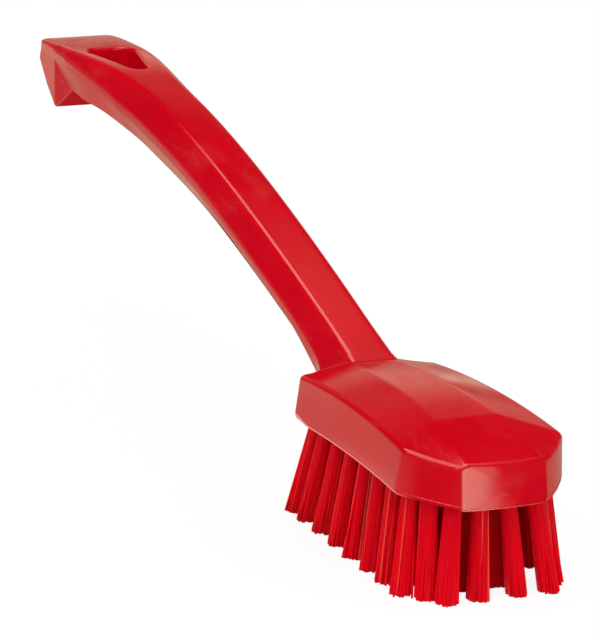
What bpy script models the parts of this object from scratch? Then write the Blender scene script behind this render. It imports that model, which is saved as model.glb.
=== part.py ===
"""Washing-up brush: a handle and head moulded in one piece, with tufts of filament in drilled holes.

+X points to the nose of the head, +Z up, and the brush is alike on both sides of Y = 0.
The filament tips stand on Z = 0. All lengths are in metres.
"""

import math

import bmesh
import bpy
from mathutils import Vector, geometry

# Overall
OVERALL_LENGTH = 0.2713
OVERALL_HEIGHT = 0.0990
TIP_OVERHANG = 0.0013

# Head, seen from above
HEAD_LENGTH = 0.0792
SHOULDER_SETBACK = 0.0136
REAR_HALF_WIDTH = 0.0217
SHOULDER_HALF_WIDTH = 0.0250
NOSE_HALF_WIDTH = 0.0130
REAR_DRAFT = 0.0008
SIDE_DRAFT = 0.0012
LOW_SHOULDER_SETBACK = 0.0006
NOSE_DRAFT = 0.0022
NOSE_SIDE_DRAFT = 0.0003
NOSE_BULGE = 0.0013
BEVEL_BULGE = 0.0007

# Head, seen from the side
FREE_BRISTLE = 0.0309
WALL_HEIGHT = 0.0136
UNDERSIDE_RADIUS = 0.390
UNDERSIDE_CREST_SETBACK = 0.0610
EDGE_RADIUS = 0.255
EDGE_CREST_SETBACK = 0.0570

# Raised band along the top of the head
BAND_LIFT = 0.0028
BAND_RADIUS = 0.250
BAND_CREST_SETBACK = 0.0580
BAND_FRONT_SETBACK = 0.0235
BAND_FRONT_HALF_WIDTH = 0.0095

# Handle, seen from the side
FOOT_INSET = 0.0051
HOOK_TOP_LENGTH = 0.0250
HOOK_TOP_DROP = 0.0007
CREST_PULL = 0.0333
FOOT_PULL = 0.0988
FOOT_PULL_RISE = 0.0444
GRIP_DEPTH = 0.0146
FOOT_EXTRA_DEPTH = 0.0014

# Handle, across its length
GRIP_HALF_WIDTH = 0.0076
FOOT_HALF_WIDTH = 0.0068
HOOK_HALF_WIDTH = 0.0122
FISHTAIL_START = 0.0170
FISHTAIL_END = 0.0640
SIDE_BULGE = 0.0031
SIDE_DEPTH = 0.0066
SIDE_GROWTH_LENGTH = 0.0550
SWELL_DEPTH = 0.0013
SIDE_SWELL_START = 0.0480
SWELL_PEAK = 0.0700
SWELL_END = 0.1150
SIDE_LOWERING = 0.0015
LOWERING_START = 0.0700
LOWERING_END = 0.1500
LOW_BAND_DEPTH = 0.0027
LOW_BAND_TUCK = 0.0003
HOOK_TIP_TUCK = 0.0011
NOTCH_TUCK = 0.0030

# Flared foot of the handle
FOOT_GAP = 0.0044
FLARE_LENGTH = 0.0200
FLARE_WIDTH = 0.0030
FOOT_DROP_LENGTH = 0.0360
FOOT_DROP = 0.0019
FOOT_LOW_DROP = 0.0030

# Softened edges
TOP_EDGE_CUT = 0.0013
SIDE_EDGE_CUT = 0.0013
LOW_EDGE_CUT = 0.0008
UNDER_EDGE_CUT = 0.0012
CUT_SHARE = 0.35
SMOOTH_ANGLE = math.radians(36)

# Hook under the handle's end
HOOK_END_DEPTH = 0.0058
HOOK_DEPTH = 0.0199
HOOK_BACK_BELLY = 0.0009
SCRAPER_SETBACK = 0.0120
NOTCH_SETBACK = 0.0202
NOTCH_DEPTH = 0.0128
NOTCH_FLAT_END = 0.0345
NOTCH_FLAT_DEPTH = 0.0138

# Hanging hole
HOLE_BASE_SETBACK = 0.0190
HOLE_APEX_SETBACK = 0.0452
HOLE_HALF_WIDTH = 0.0070
HOLE_BASE_RADIUS = 0.0050
HOLE_APEX_RADIUS = 0.0035

# Tuft holes
TUFT_HOLE_RADIUS = 0.0023
TUFT_HOLE_DEPTH = 0.0090
ROW_INSET = 0.0055
REAR_ROW_TUCK = 0.0012
REAR_ROW_INSET = 0.0046
SIDE_ROW_START = 0.0115
SIDE_ROW_END = 0.0149
SIDE_ROW_PITCH = 0.0088
REAR_ROW_PITCH = 0.0108
NOSE_ROW_INSET = 0.0054
NOSE_ROW_PITCH = 0.0084
CHAMFER_TUFT_SETBACK = 0.0101
CHAMFER_TUFT_INSET = 0.0075
INNER_ROW_SPACING = 0.0085
INNER_NOSE_SETBACK = 0.0132
FAN_RADIUS = 0.1020
FAN_CENTRE_SETBACK = 0.0220
SPLAY_RADIUS = 0.0866
SPLAY_CENTRE_SETBACK = 0.0620

# Tufts
SEAT_GAP = 0.0003
MOUTH_SETBACK = 0.0002
FILAMENT_ROOT_RADIUS = 0.0004
FILAMENT_TIP_RADIUS = 0.0005
INNER_RING_RADIUS = 0.0006
OUTER_RING_RADIUS = 0.0014
TUFT_SPREAD = 0.0004
ANCHOR_WIDTH = 0.0032
ANCHOR_THICKNESS = 0.0006
ANCHOR_HEIGHT = 0.0018

# Counts
REAR_TUFTS = 4
NOSE_TUFTS = 4
INNER_FILAMENTS = 3
OUTER_FILAMENTS = 7
FILAMENT_SIDES = 3
PLUG_SIDES = 8
TUFT_HOLE_SIDES = 12
CORNER_STEPS = 6
HANDLE_STEPS = 21
HEAD_STEPS = 10
NOSE_STEPS = 4

# Length that cutters reach past the faces they cut
OVERRUN = 0.004

# Places that follow from the sizes above
HOOK_END_X = -OVERALL_LENGTH / 2
NOSE_X = OVERALL_LENGTH / 2 - TIP_OVERHANG
REAR_X = NOSE_X - HEAD_LENGTH
FOOT_X = REAR_X + FOOT_INSET
HANDLE_LENGTH = FOOT_X - HOOK_END_X
SHOULDER_X = NOSE_X - SHOULDER_SETBACK
BAND_FRONT_X = NOSE_X - BAND_FRONT_SETBACK
EDGE_CREST_Z = FREE_BRISTLE + WALL_HEIGHT
BAND_CREST_Z = EDGE_CREST_Z + BAND_LIFT
PLUG_RADIUS = TUFT_HOLE_RADIUS - SEAT_GAP


def mix(a, b, share):
    return a + (b - a) * share


def ease(value, start, end):
    """0 before the start, 1 after the end, and a smooth rise between."""
    share = min(max((value - start) / (end - start), 0), 1)
    return share * share * (3 - 2 * share)


def arc_height(x, crest_x, crest_z, radius):
    """Height at x of an arc that is highest at its crest."""
    return crest_z - radius + math.sqrt(radius ** 2 - (x - crest_x) ** 2)


def underside_z(x):
    return arc_height(x, NOSE_X - UNDERSIDE_CREST_SETBACK, FREE_BRISTLE, UNDERSIDE_RADIUS)


def edge_z(x):
    return arc_height(x, NOSE_X - EDGE_CREST_SETBACK, EDGE_CREST_Z, EDGE_RADIUS)


def band_z(x):
    return arc_height(x, NOSE_X - BAND_CREST_SETBACK, BAND_CREST_Z, BAND_RADIUS)


FOOT_Z = band_z(FOOT_X)
HOOK_TOP_Z = OVERALL_HEIGHT


# Objects and materials

def make_material(name, colour, roughness, metallic=0.0):
    material = bpy.data.materials.new(name)
    material.use_nodes = True
    shader = material.node_tree.nodes["Principled BSDF"]
    shader.inputs["Base Color"].default_value = (*colour, 1)
    shader.inputs["Roughness"].default_value = roughness
    shader.inputs["Metallic"].default_value = metallic
    return material


def add_object(name, verts, faces, material=None):
    mesh = bpy.data.meshes.new(name)
    mesh.from_pydata([tuple(vert) for vert in verts], [], faces)
    if material:
        mesh.materials.append(material)
    thing = bpy.data.objects.new(name, mesh)
    bpy.context.collection.objects.link(thing)
    return thing


def tidy_mesh(thing):
    """Join the points that coincide, split the faces into triangles and turn them outward."""
    body = bmesh.new()
    body.from_mesh(thing.data)
    bmesh.ops.remove_doubles(body, verts=body.verts, dist=SEAT_GAP / 100)
    bmesh.ops.triangulate(body, faces=body.faces, quad_method="SHORT_EDGE")
    bmesh.ops.recalc_face_normals(body, faces=body.faces)
    body.to_mesh(thing.data)
    body.free()
    thing.data.shade_smooth()
    thing.data.set_sharp_from_angle(angle=SMOOTH_ANGLE)


def cut_with(thing, guide):
    guide.hide_render = True
    guide.display_type = "WIRE"
    boolean = thing.modifiers.new(guide.name, "BOOLEAN")
    boolean.operation = "DIFFERENCE"
    boolean.solver = "EXACT"
    boolean.object = guide


# Moulding, built of rings with four points on each side

def bezier(start, pull_a, pull_b, end, share):
    rest = 1 - share
    ends = rest ** 3 * start + share ** 3 * end
    return ends + 3 * rest ** 2 * share * pull_a + 3 * rest * share ** 2 * pull_b


def handle_top(share):
    """Distance from the hook's end, and height, of a point on the handle's arched top."""
    along = bezier(HOOK_TOP_LENGTH, HOOK_TOP_LENGTH + CREST_PULL,
                   HANDLE_LENGTH - FOOT_PULL, HANDLE_LENGTH, share)
    top_z = bezier(HOOK_TOP_Z, HOOK_TOP_Z, FOOT_Z + FOOT_PULL_RISE, FOOT_Z, share)
    return along, top_z


def handle_top_z(along):
    """Height of the handle's top at a distance from the hook's end."""
    if along <= HOOK_TOP_LENGTH:
        return HOOK_TOP_Z - HOOK_TOP_DROP * (1 - along / HOOK_TOP_LENGTH) ** 2
    low, high = 0.0, 1.0
    for _ in range(40):
        share = (low + high) / 2
        if handle_top(share)[0] < along:
            low = share
        else:
            high = share
    return handle_top(share)[1]


def swell(along, start):
    """Extra depth of the handle where the palm rests."""
    return SWELL_DEPTH * ease(along, start, SWELL_PEAK) * (1 - ease(along, SWELL_PEAK, SWELL_END))


def underside_depth(along):
    """Depth of the handle, or of the hook under its end, below the handle's top."""
    if along < SCRAPER_SETBACK:
        share = along / SCRAPER_SETBACK
        return mix(HOOK_END_DEPTH, HOOK_DEPTH, share) + 4 * HOOK_BACK_BELLY * share * (1 - share)
    if along < NOTCH_SETBACK:
        return mix(HOOK_DEPTH, NOTCH_DEPTH, (along - SCRAPER_SETBACK) / (NOTCH_SETBACK - SCRAPER_SETBACK))
    if along < NOTCH_FLAT_END:
        return mix(NOTCH_DEPTH, NOTCH_FLAT_DEPTH, (along - NOTCH_SETBACK) / (NOTCH_FLAT_END - NOTCH_SETBACK))
    grown = mix(NOTCH_FLAT_DEPTH, GRIP_DEPTH, ease(along, NOTCH_FLAT_END, SIDE_GROWTH_LENGTH))
    grown += swell(along, NOTCH_FLAT_END)
    return grown + FOOT_EXTRA_DEPTH * ease(along, HANDLE_LENGTH - 2 * FLARE_LENGTH, HANDLE_LENGTH)


def handle_ring(along):
    """Half a section of the handle: top edge, side crease, lower crease and underside edge."""
    x = HOOK_END_X + along
    top = handle_top_z(along)
    growth = min((along + SIDE_BULGE) / SIDE_GROWTH_LENGTH, 1)
    flare = ease(along, HANDLE_LENGTH - FOOT_GAP - FLARE_LENGTH, HANDLE_LENGTH - FOOT_GAP) ** 2
    grip = mix(GRIP_HALF_WIDTH, FOOT_HALF_WIDTH, along / HANDLE_LENGTH)
    half = mix(HOOK_HALF_WIDTH, grip, ease(along, FISHTAIL_START, FISHTAIL_END))
    side = half + SIDE_BULGE * growth + FLARE_WIDTH * flare
    foot = ease(along, HANDLE_LENGTH - FOOT_DROP_LENGTH, HANDLE_LENGTH - FOOT_GAP)
    lowering = SIDE_LOWERING * ease(along, LOWERING_START, LOWERING_END)
    side_z = top - SIDE_DEPTH * growth - swell(along, SIDE_SWELL_START) - lowering - FOOT_DROP * foot
    low = side - LOW_BAND_TUCK - FLARE_WIDTH * flare
    low_z = side_z - LOW_BAND_DEPTH - FOOT_LOW_DROP * foot
    tuck = HOOK_TIP_TUCK * ease(along, 0, SCRAPER_SETBACK)
    tuck += (NOTCH_TUCK - HOOK_TIP_TUCK) * ease(along, SCRAPER_SETBACK, NOTCH_SETBACK)
    under = mix(side - tuck, half, ease(along, NOTCH_SETBACK, NOTCH_FLAT_END))
    under_z = top - underside_depth(along)
    return [(x, half, top), (x, side, side_z), (x, low, low_z), (x, under, under_z)]


def head_ring(share):
    """Half a slanted section of the head: band edge, top edge, bottom edge and a point under it."""
    band_x = mix(FOOT_X, BAND_FRONT_X, share)
    edge_x = mix(REAR_X + REAR_DRAFT, SHOULDER_X, share)
    low_x = mix(REAR_X, SHOULDER_X - LOW_SHOULDER_SETBACK, share)
    band = mix(FOOT_HALF_WIDTH, BAND_FRONT_HALF_WIDTH, share)
    edge = mix(REAR_HALF_WIDTH, SHOULDER_HALF_WIDTH, share)
    low = edge + SIDE_DRAFT
    low_z = underside_z(low_x)
    return [(band_x, band, band_z(band_x)), (edge_x, edge, edge_z(edge_x)),
            (low_x, low, low_z), (low_x, low / 2, low_z)]


def nose_ring(share):
    """Half an outline of the front wall, narrower and further forward as the share goes from 0 to 1."""
    forward = NOSE_BULGE * (1 - (1 - share) ** 2)
    edge_x = NOSE_X - NOSE_DRAFT
    edge = (edge_x + forward, NOSE_HALF_WIDTH * (1 - share), edge_z(edge_x))
    low = (NOSE_HALF_WIDTH + NOSE_SIDE_DRAFT) * (1 - share)
    low_z = underside_z(NOSE_X)
    return [edge, edge, (NOSE_X + forward, low, low_z), (NOSE_X + forward, low / 2, low_z)]


def bevel_ring(share):
    """Half a section between the shoulder and the nose, pushed out a little in the middle."""
    along_x = NOSE_X - SHOULDER_X
    along_y = SHOULDER_HALF_WIDTH - NOSE_HALF_WIDTH
    outward = Vector((along_y, along_x, 0)).normalized() * 4 * BEVEL_BULGE * share * (1 - share)
    corners = [Vector(a).lerp(Vector(b), share) for a, b in zip(head_ring(1), nose_ring(0))]
    return [tuple(corners[0])] + [tuple(corner + outward) for corner in corners[1:]]


def moulding_rings():
    hook_setbacks = [0.0, SCRAPER_SETBACK / 2, SCRAPER_SETBACK, NOTCH_SETBACK,
                     (NOTCH_SETBACK + NOTCH_FLAT_END) / 2, NOTCH_FLAT_END]
    rings = [handle_ring(setback) for setback in hook_setbacks]
    for step in range(1, HANDLE_STEPS + 1):
        rings.append(handle_ring(mix(NOTCH_FLAT_END, HANDLE_LENGTH - FOOT_GAP, step / HANDLE_STEPS)))
    for step in range(HEAD_STEPS + 1):
        rings.append(head_ring(step / HEAD_STEPS))
    rings += [bevel_ring(step / NOSE_STEPS) for step in range(1, NOSE_STEPS)]
    rings += [nose_ring(step / NOSE_STEPS) for step in range(NOSE_STEPS)]
    return rings


def soften(half):
    """A whole closed section, each corner of the half section turned into three points."""
    corners = [Vector(corner) for corner in half]
    corners += [Vector((x, -y, z)) for x, y, z in reversed(half)]
    cuts = [TOP_EDGE_CUT, SIDE_EDGE_CUT, LOW_EDGE_CUT, UNDER_EDGE_CUT]
    cuts += reversed(cuts)
    points = []
    for place, corner in enumerate(corners):
        before = corners[place - 1] - corner
        after = corners[(place + 1) % len(corners)] - corner
        start = corner + before.normalized() * min(cuts[place], CUT_SHARE * before.length)
        end = corner + after.normalized() * min(cuts[place], CUT_SHARE * after.length)
        points += [start, start.lerp(end, 1 / 2).lerp(corner, 1 / 2), end]
    return points


def make_moulding(material):
    verts = []
    faces = []
    rings = [soften(half) for half in moulding_rings()]
    for ring in rings:
        verts += ring
    count = len(rings[0])
    for ring in range(len(rings) - 1):
        for corner in range(count):
            after = (corner + 1) % count
            near = ring * count
            far = near + count
            faces.append((near + corner, near + after, far + after, far + corner))
    last = (len(rings) - 1) * count
    faces.append(tuple(range(count)))
    faces.append(tuple(range(last, last + count)))
    moulding = add_object("handle_and_head", verts, faces, material)
    tidy_mesh(moulding)
    cut_with(moulding, make_hanging_hole())
    cut_with(moulding, make_tuft_holes())
    return moulding


def prism(low_points, high_points):
    """Points and faces of a closed solid between two outlines of as many points."""
    count = len(low_points)
    faces = [tuple(range(count)), tuple(range(count, 2 * count))]
    for corner in range(count):
        after = (corner + 1) % count
        faces.append((corner, after, count + after, count + corner))
    return low_points + high_points, faces


def arc_points(centre, radius, start, end):
    points = []
    for step in range(CORNER_STEPS + 1):
        angle = mix(start, end, step / CORNER_STEPS)
        points.append((centre[0] + radius * math.cos(angle), centre[1] + radius * math.sin(angle)))
    return points


def make_hanging_hole():
    """A three-cornered opening, its base towards the hook and its apex towards the head."""
    base = (HOOK_END_X + HOLE_BASE_SETBACK + HOLE_BASE_RADIUS, HOLE_HALF_WIDTH - HOLE_BASE_RADIUS)
    apex = (HOOK_END_X + HOLE_APEX_SETBACK - HOLE_APEX_RADIUS, 0.0)
    reach = math.hypot(apex[0] - base[0], apex[1] - base[1])
    heading = math.atan2(apex[1] - base[1], apex[0] - base[0])
    lean = heading + math.acos((HOLE_BASE_RADIUS - HOLE_APEX_RADIUS) / reach)
    outline = arc_points(base, HOLE_BASE_RADIUS, math.pi, lean)
    outline += arc_points(apex, HOLE_APEX_RADIUS, lean, -lean)
    outline += arc_points((base[0], -base[1]), HOLE_BASE_RADIUS, -lean, -math.pi)
    low_z = HOOK_TOP_Z - HOOK_DEPTH - OVERRUN
    high_z = HOOK_TOP_Z + OVERRUN
    verts, faces = prism([(x, y, low_z) for x, y in outline], [(x, y, high_z) for x, y in outline])
    guide = add_object("hanging_hole_guide", verts, faces)
    tidy_mesh(guide)
    return guide


# Tufts and their holes

def row_half_width(x):
    """Half the width between the two outer rows."""
    share = (x - REAR_X) / (SHOULDER_X - LOW_SHOULDER_SETBACK - REAR_X)
    rear = REAR_HALF_WIDTH - REAR_ROW_TUCK
    return mix(rear, SHOULDER_HALF_WIDTH, share) + SIDE_DRAFT - ROW_INSET


def across(count, pitch):
    return [(place - (count - 1) / 2) * pitch for place in range(count)]


def tuft_places():
    """Where each tuft leaves the underside, row by row."""
    places = [(REAR_X + REAR_ROW_INSET, y) for y in across(REAR_TUFTS, REAR_ROW_PITCH)]
    first = REAR_X + SIDE_ROW_START
    last = NOSE_X - SIDE_ROW_END
    steps = max(round((last - first) / SIDE_ROW_PITCH), 1)
    side_xs = [mix(first, last, place / steps) for place in range(steps + 1)]
    for side in (-1, 1):
        places += [(x, side * row_half_width(x)) for x in side_xs]
        between_xs = [(x + after) / 2 for x, after in zip(side_xs, side_xs[1:])]
        places += [(x, side * (row_half_width(x) - INNER_ROW_SPACING)) for x in between_xs]
        places.append((NOSE_X - CHAMFER_TUFT_SETBACK, side * (SHOULDER_HALF_WIDTH - CHAMFER_TUFT_INSET)))
        places.append((NOSE_X - INNER_NOSE_SETBACK, side * NOSE_ROW_PITCH / 2))
    places += [(x, 0.0) for x in side_xs[:-1]]
    places += [(NOSE_X - NOSE_ROW_INSET, y) for y in across(NOSE_TUFTS, NOSE_ROW_PITCH)]
    return places


def tuft_lean(x, y):
    """Sideways travel of a tuft for each unit that it goes down."""
    forward = (x - NOSE_X + FAN_CENTRE_SETBACK) / FAN_RADIUS
    outward = y * (x - NOSE_X + SPLAY_CENTRE_SETBACK) / SPLAY_RADIUS ** 2
    return Vector((forward, outward, -1))


def ring_points(radius, sides, turn=0.0):
    points = []
    for side in range(sides):
        angle = turn + math.tau * side / sides
        points.append(Vector((radius * math.cos(angle), radius * math.sin(angle), 0)))
    return points


def make_tuft_holes():
    verts = []
    faces = []
    outline = ring_points(TUFT_HOLE_RADIUS, TUFT_HOLE_SIDES)
    for x, y in tuft_places():
        mouth = Vector((x, y, underside_z(x)))
        lean = tuft_lean(x, y)
        low = [mouth + lean * OVERRUN + point for point in outline]
        high = [mouth - lean * TUFT_HOLE_DEPTH + point for point in outline]
        hole_verts, hole_faces = prism(low, high)
        faces += [tuple(len(verts) + corner for corner in face) for face in hole_faces]
        verts += hole_verts
    guide = add_object("tuft_holes_guide", verts, faces)
    tidy_mesh(guide)
    return guide


def fill_around(outline, islands):
    """Triangles that fill an outline, and which of them lie in each island."""
    points = [point.xy for point in outline]
    edges = [(corner, (corner + 1) % len(outline)) for corner in range(len(outline))]
    for island in islands:
        first = len(points)
        points += [point.xy for point in island]
        edges += [(first + corner, first + (corner + 1) % len(island)) for corner in range(len(island))]
    filled = geometry.delaunay_2d_cdt(points, edges, [], 1, SEAT_GAP / 100)
    islands_of = {}
    first = len(outline)
    for number, island in enumerate(islands):
        for corner in range(len(island)):
            islands_of[first + corner] = number
        first += len(island)
    plain = []
    raised = []
    for face in filled[2]:
        owners = {islands_of.get(corner) for corner in face}
        if len(owners) == 1 and None not in owners:
            raised.append(tuple(face))
        else:
            plain.append(tuple(face))
    return plain, raised


def filament_offsets(number):
    """Centres of a tuft's filaments, turned a little from one tuft to the next."""
    turn = number * math.pi * (3 - math.sqrt(5))
    offsets = ring_points(INNER_RING_RADIUS, INNER_FILAMENTS, turn)
    return offsets + ring_points(OUTER_RING_RADIUS, OUTER_FILAMENTS, -turn)


def make_tuft(number, x, y, material):
    """A plug that fills the hole, filaments below it and the anchor that holds it above."""
    lean = tuft_lean(x, y)
    mouth = Vector((x, y, underside_z(x)))
    low = mouth - lean * MOUTH_SETBACK
    high = mouth - lean * (TUFT_HOLE_DEPTH - SEAT_GAP - ANCHOR_HEIGHT)
    peak = mouth - lean * (TUFT_HOLE_DEPTH - SEAT_GAP)
    rim = ring_points(PLUG_RADIUS, PLUG_SIDES)

    roots = []
    tips = []
    length = low.z
    for offset in filament_offsets(number):
        reach = offset * (1 + TUFT_SPREAD / OUTER_RING_RADIUS)
        turn = math.atan2(offset.y, offset.x)
        roots.append([offset + point for point in ring_points(FILAMENT_ROOT_RADIUS, FILAMENT_SIDES, turn)])
        tips.append([reach + point for point in ring_points(FILAMENT_TIP_RADIUS, FILAMENT_SIDES, turn)])
    half_width = ANCHOR_WIDTH / 2
    half_thickness = ANCHOR_THICKNESS / 2
    anchor = [Vector((-half_width, -half_thickness, 0)), Vector((half_width, -half_thickness, 0)),
              Vector((half_width, half_thickness, 0)), Vector((-half_width, half_thickness, 0))]

    verts = []
    faces = []

    def add_end(base, islands, far_base, far_islands):
        first = len(verts)
        verts.extend(base + point for point in rim)
        for island in islands:
            verts.extend(base + point for point in island)
        plain, raised = fill_around(rim, islands)
        faces.extend(tuple(first + corner for corner in face) for face in plain)
        near = first + len(rim)
        shift = len(verts) - near
        for island in far_islands:
            verts.extend(far_base + point for point in island)
        faces.extend(tuple(first + shift + corner for corner in face) for face in raised)
        for island in islands:
            for corner in range(len(island)):
                after = (corner + 1) % len(island)
                faces.append((near + corner, near + after, near + shift + after, near + shift + corner))
            near += len(island)
        return first

    bottom = add_end(low, roots, low + lean * length, tips)
    top = add_end(high, [anchor], peak, [anchor])
    for corner in range(PLUG_SIDES):
        after = (corner + 1) % PLUG_SIDES
        faces.append((bottom + corner, bottom + after, top + after, top + corner))
    tuft = add_object(f"tuft_{number:02d}", verts, faces, material)
    tidy_mesh(tuft)
    return tuft


def main():
    for old in list(bpy.data.objects):
        bpy.data.objects.remove(old)
    plastic = make_material("moulded_plastic", (0.56, 0.0, 0.009), 0.22)
    filament = make_material("filament", (0.50, 0.0, 0.012), 0.35)
    make_moulding(plastic)
    for number, (x, y) in enumerate(tuft_places(), start=1):
        make_tuft(number, x, y, filament)


main()
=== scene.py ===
"""Looks of a red washing-up brush: one glossy moulding of handle and head, and 44 tufts of filament.

The moulding is one surface of softened sections carried from the hook to the nose, with a thin line of
flash round its front. Each tuft is a bundle of fine filaments along the axis of its CAD node. Lengths are
in metres. A setback is measured from the nose, or on the hook and its hole from the hook's end.
"""

import math

import bmesh
import bpy
import numpy as np
from mathutils import Matrix, Vector


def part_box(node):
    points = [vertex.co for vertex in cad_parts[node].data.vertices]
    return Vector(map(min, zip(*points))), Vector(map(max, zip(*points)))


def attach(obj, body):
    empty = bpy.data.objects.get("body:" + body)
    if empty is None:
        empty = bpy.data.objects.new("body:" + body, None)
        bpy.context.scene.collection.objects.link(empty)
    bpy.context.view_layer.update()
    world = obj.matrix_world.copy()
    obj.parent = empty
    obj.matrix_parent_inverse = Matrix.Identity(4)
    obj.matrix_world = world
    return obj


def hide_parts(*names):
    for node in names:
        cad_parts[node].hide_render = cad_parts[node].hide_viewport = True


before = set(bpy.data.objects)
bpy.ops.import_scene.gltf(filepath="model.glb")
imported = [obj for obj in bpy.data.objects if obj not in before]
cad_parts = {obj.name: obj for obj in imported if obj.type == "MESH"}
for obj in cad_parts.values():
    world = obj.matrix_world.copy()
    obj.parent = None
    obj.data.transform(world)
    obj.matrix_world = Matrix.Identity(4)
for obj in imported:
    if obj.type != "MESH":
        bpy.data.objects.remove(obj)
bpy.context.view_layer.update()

body_low, body_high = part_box("handle_and_head")

# Places taken from the frame
HOOK_END_X = body_low.x
NOSE_X = body_high.x
HOOK_TOP_Z = body_high.z

# Head, seen from above
HEAD_LENGTH = 0.0792
SHOULDER_SETBACK = 0.0136
REAR_HALF_WIDTH = 0.0217
SHOULDER_HALF_WIDTH = 0.0250
NOSE_HALF_WIDTH = 0.0130
REAR_DRAFT = 0.0008
SIDE_DRAFT = 0.0012
LOW_SHOULDER_SETBACK = 0.0006
NOSE_DRAFT = 0.0022
NOSE_SIDE_DRAFT = 0.0003
NOSE_CORNER = 0.0010
NOSE_BULGE = 0.0013
BEVEL_BULGE = 0.0007

# Head, seen from the side
FREE_BRISTLE = 0.0309
WALL_HEIGHT = 0.0136
UNDERSIDE_RADIUS = 0.390
UNDERSIDE_CREST_SETBACK = 0.0610
EDGE_RADIUS = 0.255
EDGE_CREST_SETBACK = 0.0570
BAND_LIFT = 0.0028
BAND_RADIUS = 0.250
BAND_CREST_SETBACK = 0.0580
BAND_FRONT_SETBACK = 0.0235
BAND_FRONT_HALF_WIDTH = 0.0095

# Handle, with starts, peaks and ends measured along it from the hook's end
FOOT_INSET = 0.0051
HOOK_TOP_LENGTH = 0.0250
HOOK_TOP_DROP = 0.0007
CREST_PULL = 0.0333
FOOT_PULL = 0.0988
FOOT_PULL_RISE = 0.0444
GRIP_DEPTH = 0.0146
FOOT_EXTRA_DEPTH = 0.0014
GRIP_HALF_WIDTH = 0.0076
FOOT_HALF_WIDTH = 0.0068
HOOK_HALF_WIDTH = 0.0122
FISHTAIL_START = 0.0170
FISHTAIL_END = 0.0680
SIDE_BULGE = 0.0031
SIDE_DEPTH = 0.0066
SIDE_GROWTH_LENGTH = 0.0550
SWELL_DEPTH = 0.0013
SIDE_SWELL_START = 0.0480
SWELL_PEAK = 0.0700
SWELL_END = 0.1150
SIDE_LOWERING = 0.0015
LOWERING_START = 0.0700
LOWERING_END = 0.1500
LOW_BAND_DEPTH = 0.0027
LOW_BAND_TUCK = 0.0003
FOOT_GAP = 0.0044
FLARE_LENGTH = 0.0200
FLARE_WIDTH = 0.0030
FOOT_DROP_LENGTH = 0.0360
FOOT_DROP = 0.0019
FOOT_LOW_DROP = 0.0030
ARCH_SAMPLES = 600

# Hook and hanging hole
HOOK_END_DEPTH = 0.0058
HOOK_DEPTH = 0.0199
HOOK_BACK_BELLY = 0.0009
HOOK_TOP_SPREAD = 0.0003
HOOK_CORNER_TUCK = 0.0010
HOOK_TIP_TUCK = 0.0011
NOTCH_TUCK = 0.0030
SCRAPER_SETBACK = 0.0120
NOTCH_SETBACK = 0.0202
NOTCH_DEPTH = 0.0128
NOTCH_FLAT_END = 0.0345
NOTCH_FLAT_DEPTH = 0.0138
HOLE_BASE_SETBACK = 0.0205
HOLE_APEX_SETBACK = 0.0457
HOLE_HALF_WIDTH = 0.0076
HOLE_BASE_RADIUS = 0.0051
HOLE_APEX_RADIUS = 0.0034
HOLE_RIM_RADIUS = 0.0010
HOLE_RIM_TURN = math.radians(80)
HOLE_RIM_STEPS = 7
HOLE_ARC_STEPS = 16

# Softening round the section, as the length that each edge takes off the faces beside it, and at most
# CUT_SHARE of the way to the next edge
HOOK_TOP_EDGE_CUT = 0.0022
HOOK_SIDE_EDGE_CUT = 0.0014
GRIP_TOP_EDGE_CUT = 0.0023
FOOT_TOP_EDGE_CUT = 0.0022
SIDE_EDGE_CUT = 0.0010
LOW_EDGE_CUT = 0.0008
FOLD_CUT = 0.0005
UNDER_EDGE_CUT = 0.0009
BAND_EDGE_CUT = 0.0009
HEAD_TOP_EDGE_CUT = 0.0013
HEAD_LOW_EDGE_CUT = 0.0008
HEAD_REAR_CORNER_CUT = 4 * HEAD_LOW_EDGE_CUT
HEAD_REAR_CORNER_SHARE = 1 / 6
CUT_SHARE = 0.48

# Softening along the moulding: what is cut at the top, the side crease, the lower crease and the underside
HOOK_END_CUTS = (0.0024, 0.0020, 0.0016, 0.0014)
SCRAPER_CUTS = (0.0005, 0.0005, 0.0005, 0.0008)
NOTCH_CUTS = (0.0008, 0.0008, 0.0008, 0.0008)
FOOT_CUTS = (0.0004, 0.0004, 0.0006, 0.0010)
HEAD_REAR_CUTS = (0.0010, 0.0010, 0.0024, 0.0024)
SHOULDER_CUTS = (0.0009, 0.0011, 0.0014, 0.0002)
NOSE_CUTS = (0.0011, 0.0008, 0.0008, 0.0008)

# The moulding's grid: its steps, the extra columns as shares of the way out from the middle, the rows and
# columns that are named, and the smaller rings that fill its ends as shares of the last section
CORNER_STEPS = 5
HANDLE_STEPS = 70
HEAD_STEPS = 24
NOSE_STEPS = 4
FLAT_COLUMNS = (0, 1 / 4, 1 / 2)
HEAD_LOW_EDGE_COLUMN = 5
HOOK_END_ROW = 1
SCRAPER_ROW = 3
NOTCH_ROW = 4
HOOK_END_RING = 1 / 2
FRONT_WALL_RINGS = (0.6, 0.35, 0.1)
MERGE_DISTANCE = 2e-6
MOULDING_SHARP_ANGLE = math.radians(42)

# Flash left by the mould along the front walls, just above their bottom edge
FLASH_RADIUS = 0.00015
FLASH_OFFSET = FLASH_RADIUS / 4
FLASH_SHARE = 0.035
FLASH_SIDES = 6
FLASH_FADE = 0.0060
FLASH_FRONT_STEPS = 60
FLASH_UNEVENNESS = 0.3
FLASH_LONG_WAVE = 730
FLASH_SHORT_WAVE = 2100
FLASH_LEAST_SHARE = 0.05
# How pale the flash is painted: a painted highlight along the walls' bottom edge.
FLASH_PAINTED_HIGHLIGHT = 0.8

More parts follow.
